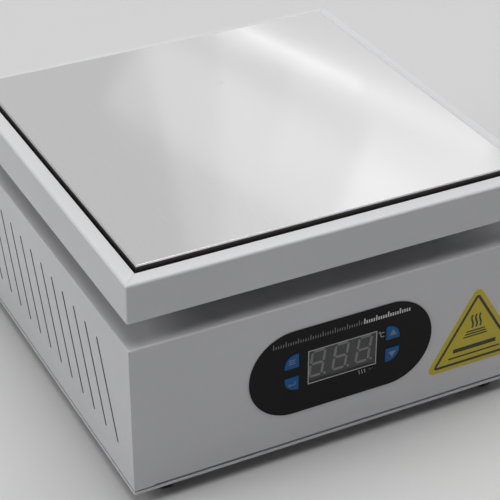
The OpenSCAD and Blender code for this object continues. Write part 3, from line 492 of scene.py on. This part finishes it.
def bar(x0, z0, x1, z1):
    """A rectangle between two corners."""
    return [(x0, z0), (x1, z0), (x1, z1), (x0, z1)]


def arc(centre, radius, start, end, steps=24):
    """Points along an arc, angles in degrees."""
    cx, cz = centre
    turn = [math.radians(start + (end - start) * i / steps) for i in range(steps + 1)]
    return [(cx + radius * math.cos(a), cz + radius * math.sin(a)) for a in turn]


# A stroke's outer corner reaches at most its half width over this
SHARPEST = 0.3


def stroke(points, width, closed=False):
    """A line of even width through points, as one four-sided outline per stretch."""
    count = len(points)
    sides = []
    for i, (x, z) in enumerate(points):
        before = points[i - 1] if closed or i else points[i]
        after = points[(i + 1) % count] if closed or i < count - 1 else points[i]
        ins = Vector((x - before[0], z - before[1]))
        outs = Vector((after[0] - x, after[1] - z))
        ins = ins.normalized() if ins.length else outs.normalized()
        outs = outs.normalized() if outs.length else ins
        way = (ins + outs).normalized()
        reach = width / 2 / max(SHARPEST, way.dot(ins))
        left = (x - way.y * reach, z + way.x * reach)
        right = (x + way.y * reach, z - way.x * reach)
        sides.append((left, right))
    last = count if closed else count - 1
    return [
        [sides[i][1], sides[(i + 1) % count][1], sides[(i + 1) % count][0], sides[i][0]]
        for i in range(last)
    ]


def moved(outlines, x, z):
    """The same outlines, moved."""
    return [[(px + x, pz + z) for px, pz in outline] for outline in outlines]


def print_on(name, outlines, face, outward, ink_name, slot, body):
    """Raises outlines off a face that lies at y = face and points along outward, -1 or +1."""
    mesh = bpy.data.meshes.new(name)
    bm = bmesh.new()
    front = (face + outward * INK) * MM
    back = (face - outward * INK_SUNK) * MM
    for outline in outlines:
        rows = [[bm.verts.new((x * MM, y, z * MM)) for x, z in outline] for y in (front, back)]
        bm.faces.new(rows[0])
        bm.faces.new(reversed(rows[1]))
        count = len(outline)
        for i in range(count):
            j = (i + 1) % count
            bm.faces.new((rows[0][i], rows[1][i], rows[1][j], rows[0][j]))
    bmesh.ops.recalc_face_normals(bm, faces=bm.faces)
    bm.to_mesh(mesh)
    bm.free()
    mesh.materials.append(bpy.data.materials[ink_name])
    item = bpy.data.objects.new(name, mesh)
    bpy.context.scene.collection.objects.link(item)
    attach(item, body)
    return item


RING_SPAN = 330


def ring(centre, radius, width, steps):
    """A line round a centre, through an arc of RING_SPAN degrees that a straight stretch closes."""
    return stroke(arc(centre, radius, 0, RING_SPAN, steps), width, closed=True)


def rising_waves(places, base, height, sway, width, steps):
    """Upright wavy lines of one wave each, one at each place across."""
    lines = []
    for x in places:
        points = [
            (x + sway * math.sin(2 * math.pi * k / steps), base + height * k / steps)
            for k in range(steps + 1)
        ]
        lines += stroke(points, width)
    return lines


# Graduated strips over the display: name, ink, where they start and end, the height of the long
# ticks and the width of all. STRIP_BASE is how high they stand over the ground. The first tick in
# each group of TICK_GROUP is long, and the others reach TICK_SHARE of its height
STRIPS = [
    ("scale_dim", "ink_grey", -37.5, 9.5, 2.8, 0.45),
    ("scale_bright", "ink_white", 10.8, 36.4, 3.0, 0.7),
]
STRIP_BASE = 67.2
TICK_PITCH = 1.3
TICK_GROUP = 5
TICK_SHARE = 0.6

# The display window's border, and a painted shadow: a dark bar for the shadow of the module's lower
# lip inside it
PANEL_LINE = 0.45
BORDER_INSET = 0.3
PAINTED_SHADOW_INSET = 0.3
PAINTED_SHADOW_LIFT = 0.25
PAINTED_SHADOW_HEIGHT = 0.6

# The degree sign and the C, right and down from the window's top right corner: centre and radius
DEGREE = ((1.3, -1.6), 0.45)
DEGREE_LINE = 0.3
LETTER = ((3.1, -3.2), 1.25)
LETTER_OPENING = 50

# The three waves left of the output light
OUTPUT_AWAY = 4.6
OUTPUT_PITCH = 1.5
OUTPUT_HEIGHT = 2.4
OUTPUT_SWAY = 0.3
OUTPUT_LINE = 0.35


def scale_strip(start, end, height, width):
    """A graduated strip: short ticks, and a longer one first in each group."""
    ticks = []
    for i in range(int((end - start) / TICK_PITCH) + 1):
        x = start + i * TICK_PITCH
        rise = height if i % TICK_GROUP == 0 else height * TICK_SHARE
        ticks.append(bar(x, STRIP_BASE, x + width, STRIP_BASE + rise))
    return ticks


def panel_graphics():
    """The printing on the dark overlay, and a painted shadow inside the display window."""
    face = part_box("control_overlay")[0].y / MM
    window_low, window_high = (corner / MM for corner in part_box("display_window"))
    light_low, light_high = (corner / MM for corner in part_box("output_light"))

    def on_overlay(name, outlines, ink_name):
        print_on(name, outlines, face, -1, ink_name, "overlay_black", "housing")

    for name, ink_name, start, end, height, width in STRIPS:
        on_overlay(name, scale_strip(start, end, height, width), ink_name)

    left, right = window_low.x + BORDER_INSET, window_high.x - BORDER_INSET
    bottom, top = window_low.z + BORDER_INSET, window_high.z - BORDER_INSET
    # A near-black bar along the window's bottom is painted shadow of the module's lower lip
    shadow_base = bottom + PAINTED_SHADOW_LIFT
    shade = bar(left + PAINTED_SHADOW_INSET, shadow_base, right - PAINTED_SHADOW_INSET, shadow_base + PAINTED_SHADOW_HEIGHT)
    border = stroke(bar(left, bottom, right, top), PANEL_LINE, closed=True)
    on_overlay("window_painted_shadow", [shade], "ink_painted_shadow")
    on_overlay("window_border", border, "ink_border")

    (x, z), radius = DEGREE
    degree = ring((window_high.x + x, window_high.z + z), radius, DEGREE_LINE, 11)
    (x, z), radius = LETTER
    centre = (window_high.x + x, window_high.z + z)
    letter = stroke(arc(centre, radius, LETTER_OPENING, 360 - LETTER_OPENING, 16), PANEL_LINE)
    on_overlay("unit_mark", degree + letter, "ink_soft")

    start = light_low.x - OUTPUT_AWAY
    places = [start + step * OUTPUT_PITCH for step in range(3)]
    base = (light_low.z + light_high.z - OUTPUT_HEIGHT) / 2
    waves = rising_waves(places, base, OUTPUT_HEIGHT, OUTPUT_SWAY, OUTPUT_LINE, 12)
    on_overlay("output_mark", waves, "ink_soft")


# The signs on the keys, about a key's middle: a list, an enter arrow and two triangles
SIGN_LINE = 0.5
LIST_HALF = 1.7
LIST_LINES = (-1.3, -0.25, 0.8)
ENTER_PATH = [(1.7, 1.3), (1.7, -0.5), (-0.9, -0.5)]
ENTER_HEAD = [(-1.9, -0.5), (-0.7, -1.5), (-0.7, 0.5)]
UP_TRIANGLE = [(-2.0, -1.6), (2.0, -1.6), (0, 1.7)]
DOWN_TRIANGLE = [(-2.0, 1.6), (0, -1.7), (2.0, 1.6)]


def key_signs():
    """A generic sign on each key."""
    lines = [bar(-LIST_HALF, z, LIST_HALF, z + SIGN_LINE) for z in LIST_LINES]
    enter = stroke(ENTER_PATH, SIGN_LINE) + [ENTER_HEAD]
    for key, sign, ink_name in (
        ("menu_key", lines, "ink_key_dim"),
        ("set_key", enter, "ink_key_dim"),
        ("up_key", [UP_TRIANGLE], "ink_key"),
        ("down_key", [DOWN_TRIANGLE], "ink_key"),
    ):
        low, high = (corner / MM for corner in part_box(key))
        x = (low.x + high.x) / 2
        z = (low.z + high.z) / 2
        print_on(key + "_sign", moved(sign, x, z), low.y, -1, ink_name, "key_blue", key)


# The triangle on the warning sticker: its base over the sticker's, its half width and height, the
# radius of its corners and the width of its line
TRIANGLE_LIFT = 3.0
TRIANGLE_HALF = 22.9
TRIANGLE_RISE = 37.5
TRIANGLE_RADIUS = 0.8
TRIANGLE_LINE = 1.4

# The heat waves in it: pitch, lift over the triangle's base, height, sway and width of line
HEAT_PITCH = 2.3
HEAT_LIFT = 18.8
HEAT_HEIGHT = 7.68
HEAT_SWAY = 0.5
HEAT_LINE = 1.0

# Bars across the triangle: half width, lift and thickness. Three are the hot surface under the
# waves, and two stand in for lines of words
STICKER_BARS = [
    (5.4, 16.6, 0.8),
    (6.2, 15.1, 0.8),
    (7.0, 13.6, 0.8),
    (12.5, 6.4, 2.4),
    (15.0, 3.1, 1.0),
]


def sticker_graphics():
    """The warning triangle's outline and a plain hot-surface sign, with no words."""
    low, high = (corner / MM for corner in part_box("warning_sticker"))
    middle = (low.x + high.x) / 2
    base = low.z + TRIANGLE_LIFT
    slope = math.degrees(math.atan2(TRIANGLE_RISE, TRIANGLE_HALF))
    foot = TRIANGLE_RADIUS / math.tan(math.radians(slope / 2))
    peak = TRIANGLE_RADIUS / math.cos(math.radians(slope))
    out = TRIANGLE_HALF - foot
    up = base + TRIANGLE_RADIUS
    outline = (
        arc((middle + out, up), TRIANGLE_RADIUS, -90, 90 - slope, 8)
        + arc((middle, base + TRIANGLE_RISE - peak), TRIANGLE_RADIUS, 90 - slope, 90 + slope, 8)
        + arc((middle - out, up), TRIANGLE_RADIUS, 90 + slope, 270, 8)
    )
    triangle = stroke(outline, TRIANGLE_LINE, closed=True)
    places = [middle + step * HEAT_PITCH for step in (-1, 0, 1)]
    sign = rising_waves(places, base + HEAT_LIFT, HEAT_HEIGHT, HEAT_SWAY, HEAT_LINE, 16)
    for half, lift, thick in STICKER_BARS:
        sign.append(bar(middle - half, base + lift, middle + half, base + lift + thick))
    for name, outlines in (("sticker_outline", triangle), ("sticker_sign", sign)):
        print_on(name, outlines, low.y, -1, "ink_black", "sticker_yellow", "housing")


# The rocker's face at rest: its pressed half is upright at this Y, and its raised half leans out by
# this many degrees from this height
ROCKER_FACE = 109.766
ROCKER_MIDDLE = 47.562
ROCKER_LEAN = 18.0

# The ring's centre below that height, its radius and line, and the bar's half width and ends, up
# the raised half from that height
OFF_BELOW = 4.4
OFF_RADIUS = 1.7
OFF_LINE = 0.6
ON_HALF = 0.35
ON_START, ON_END = 2.6, 6.4


def rocker_marks():
    """A bar on the rocker's raised half and a ring on its pressed half."""
    low, high = (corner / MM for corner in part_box("power_rocker"))
    x = (low.x + high.x) / 2
    where = ("ink_mark", "rocker_plastic", "rocker")
    off = ring((x, ROCKER_MIDDLE - OFF_BELOW), OFF_RADIUS, OFF_LINE, 22)
    print_on("switch_off_mark", off, ROCKER_FACE, 1, *where)
    on = [bar(x - ON_HALF, ON_START, x + ON_HALF, ON_END)]
    mark = print_on("switch_on_mark", on, 0, 1, *where)
    lean = Matrix.Rotation(math.radians(-ROCKER_LEAN), 4, "X")
    mark.data.transform(Matrix.Translation((0, ROCKER_FACE * MM, ROCKER_MIDDLE * MM)) @ lean)


# ---------------------------------------------------------------- studio

# Where the camera is, in metres, the way it looks, and its sensor and lens in millimetres
CAMERA_AT = (-0.3394, -0.6812, 0.525)
CAMERA_WAY = (0.38381, 0.75676, -0.52907)
CAMERA_SENSOR = 36.0
CAMERA_LENS = 123.7

# Half the floor's side in metres
FLOOR_HALF = 12.0

# Softboxes that face AIM: name, place and size in metres, and power in watts
AIM = (0, 0, 0.1)
LIGHTS = [
    ("overhead", (0.2, 0.2, 2.4), (2.4, 2.4), 61),
    ("left", (-2.2, -0.1, 1.4), (1.2, 1.2), 18),
    ("left_back", (-1.2, 1.6, 0.9), (1.2, 1.0), 1.6),
    ("right", (2.2, -0.2, 1.2), (1.2, 1.2), 5),
    ("front", (-0.4, -2.4, 1.6), (1.6, 1.2), 0.8),
]

# Panels that only show in reflections, so the plate isn't black from the sides and from behind
REFLECTED = [
    ("back_wall", (1.1, 2.15, 1.15), (3.2, 1.8), 9.9),
    ("front_panel", (0.4, -2.3, 1.1), (3.4, 1.9), 7),
    ("left_panel", (-2.4, 0.2, 1.1), (3.4, 1.9), 5),
    ("right_panel", (2.4, 0.2, 1.1), (3.4, 1.9), 5),
]

# Cards that the camera sees mirrored in the heating plate: name, metres away, how far across and
# up from the middle of the view, size, roll in degrees and watts for each square metre
CARDS = [
    ("card_left", 1.210, 0.212, -0.12, (0.60, 0.7), 13, 0.28),
    ("card_right", 1.208, 0.246, -0.12, (0.56, 0.7), 1, 0.22),
    ("centre_glow", 1.206, 0.055, -0.094, (0.46, 0.105), -31, 0.37),
    ("front_glow", 1.204, 0.21, 0.01, (0.24, 0.24), -20, 0.45),
    ("wide_streak", 1.202, 0.20, -0.127, (0.33, 0.142), -14, 0.14),
    ("long_streak", 1.200, 0.103, -0.195, (0.38, 0.018), -25, 1.35),
    ("thin_streak", 0.400, 0.034, -0.130, (0.09, 0.004), -25, 0.6),
]


def make_camera():
    """The view from the front left and above."""
    camera = bpy.data.cameras.new("camera")
    camera.sensor_width = CAMERA_SENSOR
    camera.lens = CAMERA_LENS
    camera.clip_start = 0.01
    item = bpy.data.objects.new("camera", camera)
    item.location = CAMERA_AT
    item.rotation_euler = Vector(CAMERA_WAY).to_track_quat("-Z", "Y").to_euler()
    bpy.context.scene.collection.objects.link(item)
    bpy.context.scene.camera = item


def soft_light(name, at, aim, size, power, roll=0.0):
    """A rectangular softbox of size (width, height) metres that faces aim and isn't seen itself."""
    light = bpy.data.lights.new(name, "AREA")
    light.shape = "RECTANGLE"
    light.size, light.size_y = size
    light.energy = power
    item = bpy.data.objects.new(name, light)
    facing = (Vector(aim) - Vector(at)).to_track_quat("-Z", "Y").to_matrix()
    turned = facing @ Matrix.Rotation(math.radians(roll), 3, "Z")
    item.matrix_world = Matrix.Translation(at) @ turned.to_4x4()
    item.visible_camera = False
    bpy.context.scene.collection.objects.link(item)
    return item


def plate_cards():
    """Lights where the middle of the view mirrors off the heating plate."""
    way = Vector(CAMERA_WAY).normalized()
    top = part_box("heating_plate")[1].z
    seen = Vector(CAMERA_AT) + way * (top - CAMERA_AT[2]) / way.z
    mirrored = Vector((way.x, way.y, -way.z))
    across = mirrored.cross(Vector((0, 0, 1))).normalized()
    up = across.cross(mirrored)
    for name, away, right, rise, size, roll, glow in CARDS:
        at = seen + mirrored * away + across * right + up * rise
        soft_light(name, at, at - mirrored, size, glow * size[0] * size[1], roll)


def make_floor():
    """A wide pale floor with a barely uneven tone."""
    material, tree, shader = start_material("studio_floor", Specular_IOR_Level=0.2)
    cloud = noise(tree, 3, 3.0)
    fine = noise(tree, 400, 2.0)
    connect(
        tree,
        shader,
        Base_Color=blend_colour(tree, cloud, (0.59, 0.59, 0.587), (0.63, 0.63, 0.627)),
        Roughness=spread(tree, fine, 0.6, 0.7),
        Normal=bumps(tree, [(fine, 0.02, 0.1)]),
    )
    mesh = bpy.data.meshes.new("floor")
    bm = bmesh.new()
    bmesh.ops.create_grid(bm, x_segments=8, y_segments=8, size=FLOOR_HALF)
    bm.to_mesh(mesh)
    bm.free()
    mesh.materials.append(material)
    item = bpy.data.objects.new("floor", mesh)
    bpy.context.scene.collection.objects.link(item)


def make_studio():
    """A faint cool sky, the softboxes and the cards."""
    world = bpy.data.worlds.new("studio")
    world.use_nodes = True
    background = world.node_tree.nodes["Background"]
    background.inputs["Color"].default_value = (0.93, 0.96, 1.0, 1)
    background.inputs["Strength"].default_value = 0.06
    bpy.context.scene.world = world
    bpy.context.scene.view_settings.view_transform = "Standard"
    for name, at, size, power in LIGHTS:
        soft_light(name, at, AIM, size, power)
    for name, at, size, power in REFLECTED:
        soft_light(name, at, AIM, size, power).visible_diffuse = False
    plate_cards()


finish_nodes(make_finishes())
panel_graphics()
key_signs()
sticker_graphics()
rocker_marks()
make_floor()
make_studio()
make_camera()
